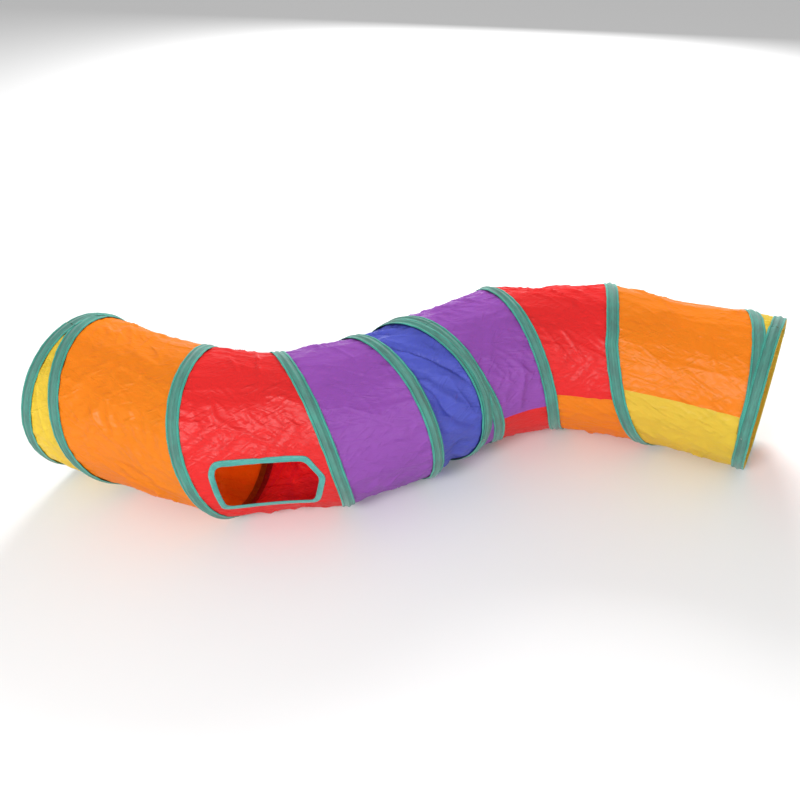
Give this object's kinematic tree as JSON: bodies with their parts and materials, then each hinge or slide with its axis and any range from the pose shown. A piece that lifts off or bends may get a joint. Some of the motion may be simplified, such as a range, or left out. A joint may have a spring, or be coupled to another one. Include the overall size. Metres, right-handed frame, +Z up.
{
  "type": "agility tunnel",
  "caption": "Collapsible pet agility tunnel on a spring-wire coil, in coloured cloth panels with taped seams and a side window, lying in an S curve.",
  "frame": {"origin": "on the floor, under the middle of the tunnel's box", "axes": "+X along the tunnel from the end with the window's half to the other end, -Y the side with the window, +Z up"},
  "size_m": [1.2246, 0.4678, 0.2572],
  "materials": {
    "cloth_yellow": "thin shiny taffeta, lightly creased",
    "cloth_orange": "thin shiny taffeta, lightly creased",
    "cloth_red": "thin shiny taffeta, lightly creased",
    "cloth_purple": "thin shiny taffeta, lightly creased",
    "cloth_blue": "thin shiny taffeta, crumpled",
    "binding_tape": "woven binding tape, folded edges, stitched",
    "spring_wire": "zinc-coated spring steel"
  },
  "bodies": {
    "left_hoop": {"left_hoop_wire": "spring_wire", "left_hoop_sleeve": "spring_wire", "left_hoop_binding": "binding_tape", "left_coil_clip": "spring_wire", "yellow_panel_left": "cloth_yellow"},
    "ring_1": {"coil_turn_1": "spring_wire", "coil_binding_1": "binding_tape", "orange_panel_left": "cloth_orange"},
    "ring_2": {"coil_turn_2": "spring_wire", "coil_binding_2": "binding_tape", "red_panel_left": "cloth_red", "window_binding": "binding_tape"},
    "ring_3": {"coil_turn_3": "spring_wire", "coil_binding_3": "binding_tape", "purple_panel_left": "cloth_purple"},
    "middle_hoop": {"middle_hoop_wire": "spring_wire", "middle_hoop_sleeve": "spring_wire", "middle_hoop_binding": "binding_tape", "middle_clip_left": "spring_wire", "middle_clip_right": "spring_wire", "coil_turn_4": "spring_wire", "coil_binding_4": "binding_tape", "blue_panel_upper": "cloth_blue", "blue_panel_lower": "cloth_blue"},
    "ring_5": {"coil_turn_5": "spring_wire", "coil_binding_5": "binding_tape", "purple_panel_right": "cloth_purple"},
    "ring_6": {"coil_turn_6": "spring_wire", "coil_binding_6": "binding_tape", "red_panel_right": "cloth_red"},
    "right_hoop": {"coil_turn_7": "spring_wire", "coil_binding_7": "binding_tape", "orange_panel_right": "cloth_orange", "yellow_panel_right": "cloth_yellow", "right_hoop_wire": "spring_wire", "right_hoop_sleeve": "spring_wire", "right_hoop_binding": "binding_tape", "right_coil_clip": "spring_wire"}
  },
  "joints": [
    {"name": "fold_1", "type": "hinge", "parent": "left_hoop", "child": "ring_1", "pos_m": [1.38912, 3.63093, 0.12859], "axis": [0, 0, -1], "range_deg": [0, 3], "stiffness_Nm_per_rad": 501.9, "springref_deg": -0.75, "deforming": ["coil_turn_1", "coil_binding_1", "yellow_panel_left", "orange_panel_left"]},
    {"name": "fold_2", "type": "hinge", "parent": "ring_1", "child": "ring_2", "pos_m": [-0.25045, 0.0912, 0.12859], "axis": [0, 0, -1], "range_deg": [0, 42], "stiffness_Nm_per_rad": 1.792, "springref_deg": -10.5, "deforming": ["coil_turn_2", "coil_binding_2", "red_panel_left", "window_binding"]},
    {"name": "fold_3", "type": "hinge", "parent": "ring_2", "child": "ring_3", "pos_m": [-0.34247, 0.42639, 0.12859], "axis": [0, 0, -1], "range_deg": [0, 14], "stiffness_Nm_per_rad": 14.48, "springref_deg": -3.5, "deforming": ["coil_turn_3", "coil_binding_3", "purple_panel_left"]},
    {"name": "fold_4", "type": "hinge", "parent": "ring_3", "child": "middle_hoop", "pos_m": [-0.18768, 0.1882, 0.12859], "axis": [0, 0, -1], "range_deg": [0, 16], "stiffness_Nm_per_rad": 6.162, "springref_deg": -4, "deforming": ["coil_turn_4", "coil_binding_4", "blue_panel_upper", "blue_panel_lower"]},
    {"name": "fold_5", "type": "hinge", "parent": "middle_hoop", "child": "ring_5", "pos_m": [0.23953, -0.19651, 0.12859], "axis": [0, 0, 1], "range_deg": [0, 30], "stiffness_Nm_per_rad": 3.741, "springref_deg": -7.5, "deforming": ["coil_turn_5", "coil_binding_5", "purple_panel_right"]},
    {"name": "fold_6", "type": "hinge", "parent": "ring_5", "child": "ring_6", "pos_m": [0.23473, -0.1466, 0.12859], "axis": [0, 0, 1], "range_deg": [0, 38], "stiffness_Nm_per_rad": 2.479, "springref_deg": -9.5, "deforming": ["coil_turn_6", "coil_binding_6", "red_panel_right"]},
    {"name": "fold_7", "type": "hinge", "parent": "ring_6", "child": "right_hoop", "pos_m": [-0.58788, -2.31749, 0.12859], "axis": [0, 0, 1], "range_deg": [0, 5], "stiffness_Nm_per_rad": 189.1, "springref_deg": -1.25, "deforming": ["coil_turn_7", "coil_binding_7", "orange_panel_right", "yellow_panel_right"]}
  ]
}
